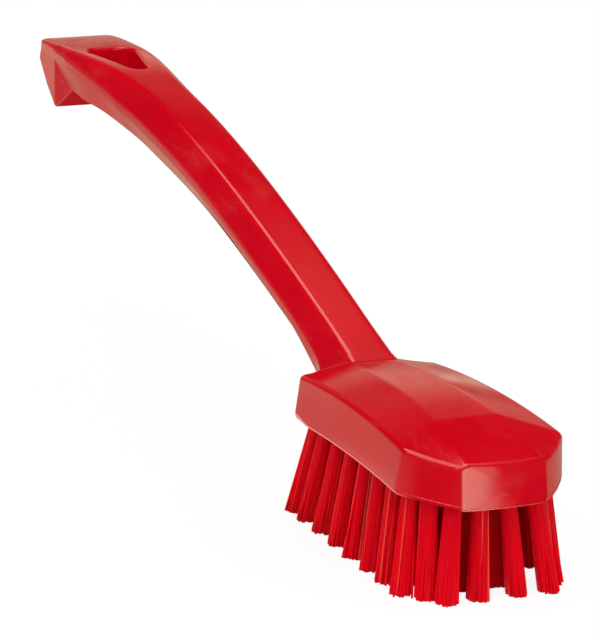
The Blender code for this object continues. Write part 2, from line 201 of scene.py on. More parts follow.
# Tuft holes and filaments
TUFT_HOLE_RADIUS = 0.0024
TUFT_HOLE_DEPTH = 0.0090
TUFT_HOLE_SIDES = 28
OVERRUN = 0.0040
FILAMENT_RINGS = (36, 29, 22, 14, 6)
FILAMENT_COUNT = sum(FILAMENT_RINGS)
RING_SCATTER = 0.05
STRAY_SHARE = 0.05
STRAY_BEND = 5
FILAMENT_RADIUS = 0.00035
FILAMENT_SIDES = 5
FILAMENT_STEPS = 6
INNER_DISTANCE = 0.0085
# Inner tufts take a darker range of shades: painted shade where the tufts round them keep the light off.
INNER_PAINTED_SHADE_TONES = (0.0, 0.4)
OUTER_SHADES = (0.7, 1.0)
BUNDLE_RADIUS = 0.00210
BUNDLE_SPREAD = 0.00070
ROOT_INSET = 0.0020
TIP_SCATTER = 0.0007
BEND = 0.00015
REAR_TIP_SHIFT = 0.0022
LEFT_TIP_SHIFT = 0.0009
LEFT_BEVEL_TIP_SHIFT = 0.0021
LEFT_NOSE_TIP_SHIFT = -0.0004
RIGHT_NOSE_TIP_SHIFT = 0.0016
BEVEL_TUFT_END_SETBACK = 0.0080
FLAT_TOLERANCE = 1e-5
FILAMENT_SHARP_ANGLE = math.radians(80)

# Red plastic: its colours, its roughness, how pale its marks are, which levels of its noises they cover, and
# its relief in hundredths of a millimetre
PLASTIC_DEEP_RED = (0.56, 0.0, 0.008, 1)
PLASTIC_LIGHT_RED = (0.61, 0.0, 0.010, 1)
# The worn red also carries the flash's painted highlight.
PLASTIC_WORN_AND_HIGHLIGHT_RED = (0.75, 0.09, 0.08, 1)
PLASTIC_IOR = 1.5
PLASTIC_ROUGHNESS = 0.12
RUB_ROUGHNESS = 0.05
PATCH_ROUGHNESS = 0.05
SCRATCH_ROUGHNESS = 0.06
SCRATCH_PALENESS = 0.14
SPECK_PALENESS = 0.6
SCUFF_PALENESS = 0.04
WAVE_SHADES = (0.3, 0.7)
PATCH_EDGE = (0.50, 0.60)
RUB_ROUGHENED = (0.35, 0.75)
RUB_SCUFFED = (0.45, 0.65)
RUB_SCRATCHED = (0.50, 0.62)
# Levels of the skin noise where the flash's painted highlight shows, breaking it into dashes.
SKIN_FLASH_HIGHLIGHT = (0.25, 0.60)
HAIRLINE_HALF_WIDTH = 0.012
SPECKS_PER_METRE = 150
SPECK_EDGE = (0.05, 0.02)
SPECK_PICK = (0.80, 0.82)
LEVEL_SCRATCH_START = 0.007
LEVEL_SCRATCH_FULL = 0.004
RELIEF_UNIT = 0.00001
SKIN_HEIGHT = 0.15
WAVE_HEIGHT = 1.6
SCRATCH_DEPTH = 0.5
SPECK_HEIGHT = 2.0

# Red filament
FILAMENT_DEEP_RED = (0.48, 0.0, 0.004, 1)
FILAMENT_BRIGHT_RED = (0.92, 0.0, 0.010, 1)
# A few of the brightest outer strands are painted paler: painted highlights for gloss on strands that face
# the light.
FILAMENT_PAINTED_HIGHLIGHT_RED = (1.0, 0.07, 0.05, 1)
HIGHLIGHT_STRANDS = (0.975, 0.99)
FILAMENT_IOR = 1.14
FILAMENT_ROUGHNESS = 0.34
STREAK_ROUGHNESS = 0.14
STREAK_BUMP = 0.4
STREAK_HEIGHT = 0.00004
FILAMENT_DEPTH_SHARE = 0.5
FILAMENT_DEPTH_COLOURS = (1.0, 0.05, 0.05)
FILAMENT_DEPTH = 0.0012

# Camera, with its turns in degrees
IMAGE_LONG_SIDE = 634
FOCAL_PIXELS = 5045
SENSOR = 36
VIEW_TARGET = Vector((-0.03070, 0.02652, 0.03332))
VIEW_DISTANCE = 1.5048
VIEW_AZIMUTH = 60.79
VIEW_ELEVATION = 15.07
VIEW_ROLL = 3.167

# Lamps. Azimuths and elevations are in degrees, from -Y round towards +X and up from the level. A pair of
# numbers is where a smooth rise starts and ends, and four are a rise and the fall after it.
SOFTBOX_COLOUR = (1.0, 0.96, 0.73, 1)
LAMP_TARGET = Vector((0.03, 0, 0.05))
NOSE_LAMP_COLOUR = (0.60, 0.98, 0.78)
NOSE_LAMP_LEVEL = 6.4
NOSE_LAMP_AZIMUTH = 88
NOSE_LAMP_SPREAD = (0.80, 1.0)
NOSE_LAMP_FALL = 3
NOSE_LAMP_HEIGHT = (0.25, 0.05)
EDGE_LAMP_LEVEL = 3.2
EDGE_LAMP_AZIMUTH = -88
EDGE_LAMP_ELEVATION = 72
EDGE_LAMP_SPREAD = (0.955, 0.99)
DARK_FRONT_AZIMUTH = 91
DARK_FRONT_SPREAD = (0.34, 0.46)

# Floor, as bright as it shows in reflections, by metres to the left (towards -Y) and to the rear (towards -X)
FLOOR_HALF_WIDTH = 6
FLOOR_COLOUR = (0.80, 0.80, 0.80, 1)
FLOOR_SEEN_LEVEL = 1.03
FLOOR_WHITE_SHARE = 0.88
HEAD_MIDDLE = (0.1, 0.0, 0.0)
FLOOR_LEAST = 0.04
LEFT_LEVEL = 0.60
LEFT_START = (-0.032, -0.010)
LEFT_LOSS = 0.44
LEFT_LOSS_RANGE = (0.15, 0.30)
LEFT_SHIFT = 0.022
LEFT_SHIFT_RANGE = (0.155, 0.20)
STRIPE_LEVEL = 0.25
STRIPE_BAND = (0.10, 0.14, 0.16, 0.21)
CLOSE_LEVEL = 1.8
CLOSE_BAND = (0.015, 0.035, 0.070, 0.095)
CLOSE_END = (0.05, 0.0)
FAR_LEVEL = 0.45
FAR_START = (0.33, 0.45)
FAR_BAND = (-0.20, -0.05, 0.15, 0.35)
RIGHT_LEVEL = 0.40
RIGHT_START = (-0.06, -0.12)
RIGHT_GAIN = 0.30
RIGHT_GAIN_RANGE = (-0.18, -0.40)
RIGHT_LOSS = 0.9
RIGHT_LOSS_RANGE = (-0.40, -0.70)

# Room, as bright as it shows in reflections, by the height that a direction rises: pairs of height and level
ROOM_STOPS = [(0.0, 0.02), (0.035, 0.12), (0.075, 1.50), (0.12, 0.30), (0.15, 0.12), (0.20, 0.22),
              (0.26, 0.90), (0.32, 0.66), (0.375, 0.46), (0.43, 0.14), (0.545, 0.14), (0.643, 0.02),
              (0.72, 0.0), (0.76, 0.25), (0.80, 0.54), (0.87, 0.50), (0.96, 0.5), (0.985, 1.5), (1.0, 1.7)]
BEHIND_AZIMUTH = -119
BESIDE_AZIMUTH = 151
HIGH_START = (0.68, 0.75)
LOW_WINDOW_SIDE = (0.55, 0.78)
LOW_WINDOW_LOSS = 0.65
LOW_WINDOW_LOSS_SIDE = (0.10, 0.20)
LOW_WINDOW_LOSS_HEIGHT = (0.10, 0.18)
HIGH_WINDOW_SIDE = (0.13, 0.22)
HIGH_WINDOW_HEIGHT = (0.84, 0.92)
HIGH_WINDOW_LOSS = 0.5
HIGH_WINDOW_LOSS_SIDE = (0.228, 0.25)
HIGH_WINDOW_LOSS_HEIGHT = (0.90, 0.84)
HORIZON_LEVEL = 0.30
HORIZON_HEIGHT = (0.11, 0.0)
WORLD_LEVEL = 0.87
FRONT_FILL = 0.32
FRONT_FILL_AZIMUTH = 75

# Places that follow from the sizes above
REAR_X = NOSE_X - HEAD_LENGTH
FOOT_X = REAR_X + FOOT_INSET
HANDLE_LENGTH = FOOT_X - HOOK_END_X
SHOULDER_X = NOSE_X - SHOULDER_SETBACK
BAND_FRONT_X = NOSE_X - BAND_FRONT_SETBACK
EDGE_CREST_Z = FREE_BRISTLE + WALL_HEIGHT
BAND_CREST_Z = EDGE_CREST_Z + BAND_LIFT
BEVEL_TUFT_END_X = NOSE_X - BEVEL_TUFT_END_SETBACK


def mix(a, b, share):
    """The value that is a share of the way from a to b."""
    return a + (b - a) * share


def ease(value, start, end):
    """0 before the start, 1 after the end, and a smooth rise between."""
    share = np.clip((value - start) / (end - start), 0, 1)
    return share * share * (3 - 2 * share)


def arc_height(x, crest_x, crest_z, radius):
    """Height at x of an arc that is highest at its crest."""
    return crest_z - radius + np.sqrt(radius ** 2 - (x - crest_x) ** 2)


def underside_z(x):
    """Height of the head's slightly crowned underside."""
    return arc_height(x, NOSE_X - UNDERSIDE_CREST_SETBACK, FREE_BRISTLE, UNDERSIDE_RADIUS)


def edge_z(x):
    """Height of the edge between the head's walls and its top."""
    return arc_height(x, NOSE_X - EDGE_CREST_SETBACK, EDGE_CREST_Z, EDGE_RADIUS)


def band_z(x):
    """Height of the raised band along the head's top."""
    return arc_height(x, NOSE_X - BAND_CREST_SETBACK, BAND_CREST_Z, BAND_RADIUS)


FOOT_Z = band_z(FOOT_X)
NOSE_TOP_Z = edge_z(NOSE_X - NOSE_DRAFT)
NOSE_LOW_Z = underside_z(NOSE_X)


def corner(x, y, z):
    """Points from arrays or single numbers, such as one corner line of the sections."""
    return np.stack(np.broadcast_arrays(x, y, z), axis=-1)


def unit(vectors):
    """Vectors of length one, or zero where they have no length, and the lengths that they had."""
    length = np.linalg.norm(vectors, axis=-1, keepdims=True)
    return np.divide(vectors, length, out=np.zeros_like(vectors), where=length > 0), length


# The moulding's sections

def bezier(start, pull_a, pull_b, end, share):
    """Cubic Bezier curve from the start to the end, drawn towards two pull points."""
    rest = 1 - share
    ends = rest ** 3 * start + share ** 3 * end
    return ends + 3 * rest ** 2 * share * pull_a + 3 * rest * share ** 2 * pull_b


def handle_top_z(along):
    """Height of the handle's top: a flat hook end, then a Bezier arch down to the head."""
    share = np.linspace(0, 1, ARCH_SAMPLES)
    arch_along = bezier(HOOK_TOP_LENGTH, HOOK_TOP_LENGTH + CREST_PULL,
                        HANDLE_LENGTH - FOOT_PULL, HANDLE_LENGTH, share)
    arch_z = bezier(HOOK_TOP_Z, HOOK_TOP_Z, FOOT_Z + FOOT_PULL_RISE, FOOT_Z, share)
    drop = HOOK_TOP_DROP * np.clip(1 - along / HOOK_TOP_LENGTH, 0, None) ** 2
    return np.interp(along, arch_along, arch_z) - drop


def swell(along, start):
    """Extra depth of the handle where the palm rests."""
    return SWELL_DEPTH * ease(along, start, SWELL_PEAK) * (1 - ease(along, SWELL_PEAK, SWELL_END))


def underside_depth(along):
    """Depth below the top: straight runs round the hook, then a slow growth towards the head."""
    depth = np.interp(along, [0, SCRAPER_SETBACK, NOTCH_SETBACK, NOTCH_FLAT_END],
                      [HOOK_END_DEPTH, HOOK_DEPTH, NOTCH_DEPTH, NOTCH_FLAT_DEPTH])
    back = np.clip(along / SCRAPER_SETBACK, 0, 1)
    depth += 4 * HOOK_BACK_BELLY * back * (1 - back)
    depth += (GRIP_DEPTH - NOTCH_FLAT_DEPTH) * ease(along, NOTCH_FLAT_END, SIDE_GROWTH_LENGTH)
    depth += swell(along, NOTCH_FLAT_END)
    return depth + FOOT_EXTRA_DEPTH * ease(along, HANDLE_LENGTH - 2 * FLARE_LENGTH, HANDLE_LENGTH)


def handle_sections(along):
    """Half sections: top edge, side crease, lower crease, the hook's fold and underside edge.

    The fold leaves the lower crease at the scraper's tip and meets the underside edge at the notch.
    """
    x = HOOK_END_X + along
    top = handle_top_z(along)
    growth = np.minimum((along + SIDE_BULGE) / SIDE_GROWTH_LENGTH, 1)
    flare = ease(along, HANDLE_LENGTH - FOOT_GAP - FLARE_LENGTH, HANDLE_LENGTH - FOOT_GAP) ** 2
    grip = mix(GRIP_HALF_WIDTH, FOOT_HALF_WIDTH, along / HANDLE_LENGTH)
    half = mix(HOOK_HALF_WIDTH, grip, ease(along, FISHTAIL_START, FISHTAIL_END))
    side = half + SIDE_BULGE * growth + FLARE_WIDTH * flare
    foot = ease(along, HANDLE_LENGTH - FOOT_DROP_LENGTH, HANDLE_LENGTH - FOOT_GAP)
    lowering = SIDE_LOWERING * ease(along, LOWERING_START, LOWERING_END)
    side_z = top - SIDE_DEPTH * growth - swell(along, SIDE_SWELL_START) - lowering - FOOT_DROP * foot
    low = side - LOW_BAND_TUCK - FLARE_WIDTH * flare
    low_z = side_z - LOW_BAND_DEPTH - FOOT_LOW_DROP * foot
    tuck = HOOK_TIP_TUCK * ease(along, 0, SCRAPER_SETBACK)
    tuck += (NOTCH_TUCK - HOOK_TIP_TUCK) * ease(along, SCRAPER_SETBACK, NOTCH_SETBACK)
    under = mix(side - tuck, half, ease(along, NOTCH_SETBACK, NOTCH_FLAT_END))
    under_z = top - underside_depth(along)
    fold = ease(along, SCRAPER_SETBACK, NOTCH_SETBACK)
    spread = HOOK_TOP_SPREAD * (1 - ease(along, HOOK_TOP_LENGTH, 2 * HOOK_TOP_LENGTH))
    end_tuck = HOOK_CORNER_TUCK * (1 - ease(along, 0, SCRAPER_SETBACK / 2))
    side_z = side_z - end_tuck / 2
    corners = [corner(x, half + spread - end_tuck, top), corner(x, side, side_z),
               corner(x, low, low_z), corner(x, mix(low, under, fold), mix(low_z, under_z, fold)),
               corner(x, under, under_z)]
    return np.stack(corners, axis=1)


def head_sections(share):
    """Half sections, slanted in plan: band edge, top edge, bottom edge and, twice, a point under the head.

    Each edge runs from the foot or rear to the shoulder, straight in plan, and follows its arc in height.
    """
    band_x = mix(FOOT_X, BAND_FRONT_X, share)
    edge_x = mix(REAR_X + REAR_DRAFT, SHOULDER_X, share)
    low_x = mix(REAR_X, SHOULDER_X - LOW_SHOULDER_SETBACK, share)
    edge = mix(REAR_HALF_WIDTH, SHOULDER_HALF_WIDTH, share)
    low = edge + SIDE_DRAFT
    low_z = underside_z(low_x)
    corners = [corner(band_x, mix(FOOT_HALF_WIDTH, BAND_FRONT_HALF_WIDTH, share), band_z(band_x)),
               corner(edge_x, edge, edge_z(edge_x)), corner(low_x, low, low_z),
               corner(low_x, low / 2, low_z), corner(low_x, low / 2, low_z)]
    return np.stack(corners, axis=1)


def front_wall(y, z):
    """Points of the front wall: it leans back from its bottom edge and bulges in the middle."""
    lean = NOSE_DRAFT * (z - NOSE_LOW_Z) / (NOSE_TOP_Z - NOSE_LOW_Z)
    return corner(NOSE_X - lean + NOSE_BULGE * (1 - (y / NOSE_HALF_WIDTH) ** 2), y, z)


def nose_sections():
    """Half sections of the bevelled sides in front of the shoulder, up to the outline of the front wall.

    They lie straight between the shoulder's section and that outline, pushed out by a parabola.
    """
    low = NOSE_HALF_WIDTH + NOSE_SIDE_DRAFT
    down = NOSE_CORNER / (NOSE_TOP_Z - NOSE_LOW_Z)
    y = np.array([NOSE_HALF_WIDTH - NOSE_CORNER, mix(NOSE_HALF_WIDTH, low, down), low, low / 2, low / 2])
    z = np.array([NOSE_TOP_Z, NOSE_TOP_Z - NOSE_CORNER, NOSE_LOW_Z, NOSE_LOW_Z, NOSE_LOW_Z])
    share = np.linspace(0, 1, NOSE_STEPS + 1)[1:, None, None]
    sections = mix(head_sections(np.ones(1)), front_wall(y, z), share)
    along = np.array([NOSE_X - SHOULDER_X, SHOULDER_HALF_WIDTH - NOSE_HALF_WIDTH])
    outward = corner(along[1], along[0], 0) / np.hypot(*along)
    return sections + outward * np.array([0, 1, 1, 1, 1])[:, None] * (4 * BEVEL_BULGE * share * (1 - share))


def with_middle(half):
    """Half sections with more columns: between the top edge and the middle, and under the head."""
    reach = np.array(FLAT_COLUMNS)[:, None]
    top = half[:, :1] * (1, 0, 1) + half[:, :1] * (0, 1, 0) * reach
    low = half[:, -1:] * (1, 0, 1) + half[:, -1:] * (0, 1, 0) * reach[::-1]
    return np.concatenate([top, half, low], axis=1)


def round_corners(points, cuts, closed):
    """Each row of points becomes a parabola from one side of its corner to the other.

    It starts and ends the cut's length away from the corner, along the lines to the rows before and after.
    A row without a cut stays one row, unless the rows are closed in a ring.
    """
    before, before_length = unit(np.roll(points, 1, axis=0) - points)
    after, after_length = unit(np.roll(points, -1, axis=0) - points)
    start = points + before * np.minimum(cuts[..., None], CUT_SHARE * before_length)
    end = points + after * np.minimum(cuts[..., None], CUT_SHARE * after_length)
    rows = []
    for place in range(len(points)):
        if not closed and not cuts[place].any():
            rows.append(points[place])
            continue
        for share in np.linspace(0, 1, CORNER_STEPS + 1):
            sides = (1 - share) ** 2 * start[place] + share ** 2 * end[place]
            rows.append(sides + 2 * share * (1 - share) * points[place])
    return np.stack(rows)


def doubled(half):
    """The columns of one side, then the same columns backwards for the other side."""
    return np.concatenate([half, half[:, ::-1]], axis=1)


def both_sides(half):
    """Whole rings: the columns of one side, then their mirror images backwards."""
    return np.concatenate([half, half[:, ::-1] * (1, -1, 1)], axis=1)


def moulding_grid():
    """Points of the whole moulding, as rows from the hook to the nose and columns round the section.

    Half sections are mirrored about the middle plane. Their corners become parabolas, first round each
    section and then along the moulding, and smaller rings fill the hook's end and the front wall.
    """
    hook = np.array([0, SCRAPER_SETBACK / 2, SCRAPER_SETBACK, NOTCH_SETBACK,
                     mix(NOTCH_SETBACK, NOTCH_FLAT_END, 1 / 3), mix(NOTCH_SETBACK, NOTCH_FLAT_END, 2 / 3)])
    grip = np.linspace(NOTCH_FLAT_END, HANDLE_LENGTH - FOOT_GAP, HANDLE_STEPS)
    along = np.concatenate([hook, grip])
    share = np.linspace(0, 1, HEAD_STEPS)
    half = with_middle(np.concatenate([handle_sections(along), head_sections(share), nose_sections()]))
    half[-1] = front_wall(half[-1, :, 1], half[-1, :, 2])

    top_cut = mix(HOOK_TOP_EDGE_CUT, GRIP_TOP_EDGE_CUT, ease(along, NOTCH_SETBACK, 2 * FISHTAIL_END))
    top_cut = mix(top_cut, FOOT_TOP_EDGE_CUT, ease(along, 2 * FISHTAIL_END, HANDLE_LENGTH))
    side_cut = mix(HOOK_SIDE_EDGE_CUT, SIDE_EDGE_CUT, ease(along, HOOK_TOP_LENGTH, 2 * HOOK_TOP_LENGTH))
    handle_cuts = corner_cuts(top_cut, side_cut, LOW_EDGE_CUT, FOLD_CUT, UNDER_EDGE_CUT, len(along))
    low_cut = mix(HEAD_REAR_CORNER_CUT, HEAD_LOW_EDGE_CUT, ease(share, 0, HEAD_REAR_CORNER_SHARE))
    head_cuts = corner_cuts(BAND_EDGE_CUT, HEAD_TOP_EDGE_CUT, low_cut, 0, 0, HEAD_STEPS)
    nose_cuts = corner_cuts(BAND_EDGE_CUT, HEAD_TOP_EDGE_CUT, HEAD_LOW_EDGE_CUT, 0, 0, NOSE_STEPS)
    ring_cuts = doubled(np.concatenate([handle_cuts, head_cuts, nose_cuts]))
    rings = round_corners(both_sides(half).swapaxes(0, 1), ring_cuts.T, True).swapaxes(0, 1)

    end = mix(rings[:1].mean(axis=1, keepdims=True), rings[:1], HOOK_END_RING)
    wall_middle = np.array([0, mix(NOSE_LOW_Z, NOSE_TOP_Z, 1 / 2)])
    wall = mix(wall_middle, rings[-1:, :, 1:], np.array(FRONT_WALL_RINGS)[:, None, None])
    rings = np.concatenate([end, rings, front_wall(wall[..., 0], wall[..., 1])])

    foot = len(along)
    shoulder = foot + HEAD_STEPS
    cut_rows = {HOOK_END_ROW: HOOK_END_CUTS, SCRAPER_ROW: SCRAPER_CUTS, NOTCH_ROW: NOTCH_CUTS,
                foot: FOOT_CUTS, foot + 1: HEAD_REAR_CUTS, shoulder: SHOULDER_CUTS,
                shoulder + NOSE_STEPS: NOSE_CUTS}
    lengthwise = corner_cuts(0, 0, 0, 0, 0, len(rings))
    for row, cuts in cut_rows.items():
        lengthwise[row] = spread_cuts(*cuts)
    lengthwise = np.repeat(doubled(lengthwise), CORNER_STEPS + 1, axis=1)
    return round_corners(rings, lengthwise, False)


def corner_cuts(top, side, low, fold, under, count):
    """How much is cut round the section at each of a half section's columns, for a number of sections."""
    cuts = np.stack(np.broadcast_arrays(top, side, low, fold, under, np.zeros(count))[:5], axis=1)
    flat = np.zeros((count, len(FLAT_COLUMNS)))
    return np.concatenate([flat, cuts, flat], axis=1)


def spread_cuts(top, side, low, under):
    """How much is cut along the moulding at each of one half section's columns."""
    return np.array([top, top, top, top, side, low, under, under, under, under, under])


def flash_path(grid):
    """Points just above the walls' bottom edge, from one shoulder round the nose to the other."""
    low_edge = HEAD_LOW_EDGE_COLUMN * (CORNER_STEPS + 1)
    wall = mix(grid[:, low_edge], grid[:, low_edge - 1], FLASH_SHARE)
    wall = wall[(wall[:, 0] > SHOULDER_X) & (wall[:, 1] > NOSE_HALF_WIDTH)]
    wall = wall[np.argsort(-wall[:, 1])]
    y = np.linspace(wall[-1, 1], -wall[-1, 1], FLASH_FRONT_STEPS)[1:-1]
    front = front_wall(y, mix(NOSE_LOW_Z, NOSE_TOP_Z, FLASH_SHARE))
    return np.concatenate([wall, front, wall[::-1] * (1, -1, 1)])


def flash_grid(grid):
    """A thin round profile carried along the flash line, uneven along its length and faded at its ends."""
    path = flash_path(grid)
    tangent = unit(np.gradient(path, axis=0))[0]
    outward = unit(np.cross((0, 0, 1), tangent))[0]
    travel = np.concatenate([[0], np.cumsum(np.linalg.norm(np.diff(path, axis=0), axis=1))])
    fade = ease(travel, 0, FLASH_FADE) * ease(travel[-1] - travel, 0, FLASH_FADE)
    uneven = 1 + FLASH_UNEVENNESS * np.sin(travel * FLASH_SHORT_WAVE) * np.sin(travel * FLASH_LONG_WAVE)
    radius = FLASH_RADIUS * np.maximum(fade * uneven, FLASH_LEAST_SHARE)
    turn = np.linspace(0, math.tau, FLASH_SIDES, endpoint=False)
    ring = outward[:, None] * np.cos(turn)[:, None] + np.array([0, 0, 1]) * np.sin(turn)[:, None]
    return path[:, None] + outward[:, None] * FLASH_OFFSET + ring * radius[:, None, None]


# Meshes

def add_piece(name, verts, faces):
    """A new object at the origin, made of points and faces."""
    mesh = bpy.data.meshes.new(name)
    mesh.from_pydata(verts.tolist(), [], faces)
    piece = bpy.data.objects.new(name, mesh)
    bpy.context.scene.collection.objects.link(piece)
    return piece


def grid_faces(rows, columns):
    """Quads between the rows of a grid whose columns close in a ring."""
    row, column = np.meshgrid(np.arange(rows - 1), np.arange(columns), indexing="ij")
    here = row * columns + column
    beside = row * columns + (column + 1) % columns
    return np.stack([here, here + columns, beside + columns, beside], axis=-1).reshape(-1, 4)


def tube(grid):
    """Points and faces of a closed body between the first and last rings of a grid."""
    rows, columns = grid.shape[:2]
    faces = grid_faces(rows, columns).tolist()
    faces.append(list(range(columns)))
    faces.append(list(range((rows - 1) * columns, rows * columns))[::-1])
    return grid.reshape(-1, 3), faces


def merge(piece):
    """Join the points that coincide, drop the faces that vanish and turn the rest outward."""
    body = bmesh.new()
    body.from_mesh(piece.data)
    bmesh.ops.remove_doubles(body, verts=body.verts, dist=MERGE_DISTANCE)
    bmesh.ops.dissolve_degenerate(body, edges=body.edges, dist=MERGE_DISTANCE)
    bmesh.ops.recalc_face_normals(body, faces=body.faces)
    body.to_mesh(piece.data)
    body.free()


def cut(piece, cutter):
    """Take the cutter's body out of the piece and delete the cutter."""
    boolean = piece.modifiers.new(cutter.name, "BOOLEAN")
    boolean.operation = "DIFFERENCE"
    boolean.solver = "EXACT"
    boolean.object = cutter
    done = bpy.data.meshes.new_from_object(piece.evaluated_get(bpy.context.evaluated_depsgraph_get()))
    piece.modifiers.clear()
    piece.data = done
    bpy.data.objects.remove(cutter)


def hole_outline(offset):
    """Plan of the hanging hole: arcs round its two base corners and its apex, pushed out by an offset."""
    base_x = HOOK_END_X + HOLE_BASE_SETBACK + HOLE_BASE_RADIUS
    base_y = HOLE_HALF_WIDTH - HOLE_BASE_RADIUS
    apex_x = HOOK_END_X + HOLE_APEX_SETBACK - HOLE_APEX_RADIUS
    reach = math.hypot(apex_x - base_x, base_y)
    lean = math.atan2(-base_y, apex_x - base_x) + math.acos((HOLE_BASE_RADIUS - HOLE_APEX_RADIUS) / reach)
    turns = [np.linspace(math.pi, lean, HOLE_ARC_STEPS), np.linspace(lean, -lean, HOLE_ARC_STEPS),
             np.linspace(-lean, -math.pi, HOLE_ARC_STEPS)]
    centres = [(base_x, base_y), (apex_x, 0), (base_x, -base_y)]
    radii = [HOLE_BASE_RADIUS, HOLE_APEX_RADIUS, HOLE_BASE_RADIUS]
    arcs = []
    for turn, centre, radius in zip(turns, centres, radii):
        ring = np.stack([np.cos(turn), np.sin(turn)], axis=-1) * (radius + offset)
        arcs.append(ring + centre)
    return np.concatenate(arcs)


def hole_cutter():
    """The hanging hole's body: straight below, and flared by part of a round where it meets the top.

    Its last ring lies clear above the arched top, so that the flat cap doesn't dip into the handle.
    """
    plain = hole_outline(0)
    rings = [corner(plain[:, 0], plain[:, 1], HOOK_TOP_Z - HOOK_DEPTH - OVERRUN)]
    for turn in np.linspace(0, HOLE_RIM_TURN, HOLE_RIM_STEPS):
        outline = hole_outline(HOLE_RIM_RADIUS * (1 - math.cos(turn)))
        top = handle_top_z(outline[:, 0] - HOOK_END_X)
        rings.append(corner(outline[:, 0], outline[:, 1], top - HOLE_RIM_RADIUS * (1 - math.sin(turn))))
    outline = hole_outline(HOLE_RIM_RADIUS * (1 - math.cos(HOLE_RIM_TURN)) + OVERRUN / 4)
    top = handle_top_z(outline[:, 0] - HOOK_END_X)
    rings.append(corner(outline[:, 0], outline[:, 1], top + OVERRUN / 2))
    cutter = add_piece("hole_cutter", *tube(np.stack(rings)))
    merge(cutter)
    return cutter


def tuft_axis(node):
    """Middle of a tuft's tips, and its slope: sideways travel for each unit that it goes down."""
    points = np.array([vert.co for vert in node.data.vertices])
    tips = points[points[:, 2] < points[:, 2].min() + FLAT_TOLERANCE].mean(axis=0)
    top = points[points[:, 2] > points[:, 2].max() - FLAT_TOLERANCE].mean(axis=0)
    return tips, (tips - top) / (top[2] - tips[2])


def tip_shift(mouth):
    """How far the tips of the used tufts have been pushed over, by where the tuft stands."""
    forward = REAR_TIP_SHIFT * ease(NOSE_X - mouth[0], 0, HEAD_LENGTH / 2)
    if mouth[1] < -SHOULDER_HALF_WIDTH / 2 and mouth[0] < SHOULDER_X:
        return np.array([forward, LEFT_TIP_SHIFT, 0])
    if mouth[1] < -SHOULDER_HALF_WIDTH / 2 and mouth[0] < BEVEL_TUFT_END_X:
        return np.array([forward, LEFT_BEVEL_TIP_SHIFT, 0])
    if mouth[0] > BEVEL_TUFT_END_X:
        return np.array([forward, RIGHT_NOSE_TIP_SHIFT if mouth[1] > 0 else LEFT_NOSE_TIP_SHIFT, 0])
    return np.array([forward, 0, 0])


def is_inner(tips, slope):
    """Whether other tufts stand between this one and the outside."""
    mouth = tips - slope * FREE_BRISTLE
    share = np.clip((mouth[0] - REAR_X) / (SHOULDER_X - REAR_X), 0, 1)
    side = mix(REAR_HALF_WIDTH, SHOULDER_HALF_WIDTH, share) - abs(mouth[1])
    end = min(NOSE_X - mouth[0], mouth[0] - REAR_X)
    return min(side, end) > INNER_DISTANCE


def tuft_hole_cutter(axes):
    """Round holes along the tufts' axes, from under the head to the depth that is drilled."""
    turn = np.linspace(0, math.tau, TUFT_HOLE_SIDES, endpoint=False)
    ring = corner(np.cos(turn), np.sin(turn), 0) * TUFT_HOLE_RADIUS
    verts = []
    faces = []
    for tips, slope in axes:
        mouth = tips - slope * underside_z(tips[0] - slope[0] * FREE_BRISTLE)
        body_verts, body_faces = tube(np.stack([mouth + slope * OVERRUN + ring,
                                                mouth - slope * TUFT_HOLE_DEPTH + ring]))
        first = sum(len(part) for part in verts)
        verts.append(body_verts)
        faces += [[first + place for place in face] for face in body_faces]
    cutter = add_piece("tuft_hole_cutter", np.concatenate(verts), faces)
    merge(cutter)
    return cutter


def make_flash_line(grid):
    """The line of flash, closed at both ends, with a painted highlight: an attribute that paints it pale."""
    flash = add_piece("flash_line", *tube(flash_grid(grid)))
    merge(flash)
    flash.data.shade_smooth()
    flash_highlight = flash.data.attributes.new("flash_highlight", "FLOAT", "POINT")
    flash_highlight.data.foreach_set("value", np.full(len(flash.data.vertices), FLASH_PAINTED_HIGHLIGHT, np.float32))
    return flash


def make_moulding(grid, axes):
    """The closed grid, less the hanging hole and the holes of the tufts."""
    moulding = add_piece("moulded_body", *tube(grid))
    merge(moulding)
    cut(moulding, hole_cutter())
    cut(moulding, tuft_hole_cutter(axes))
    moulding.data.shade_smooth()
    moulding.data.set_sharp_from_angle(angle=MOULDING_SHARP_ANGLE)
    weighted = moulding.modifiers.new("even_shading", "WEIGHTED_NORMAL")
    weighted.keep_sharp = True
    return moulding


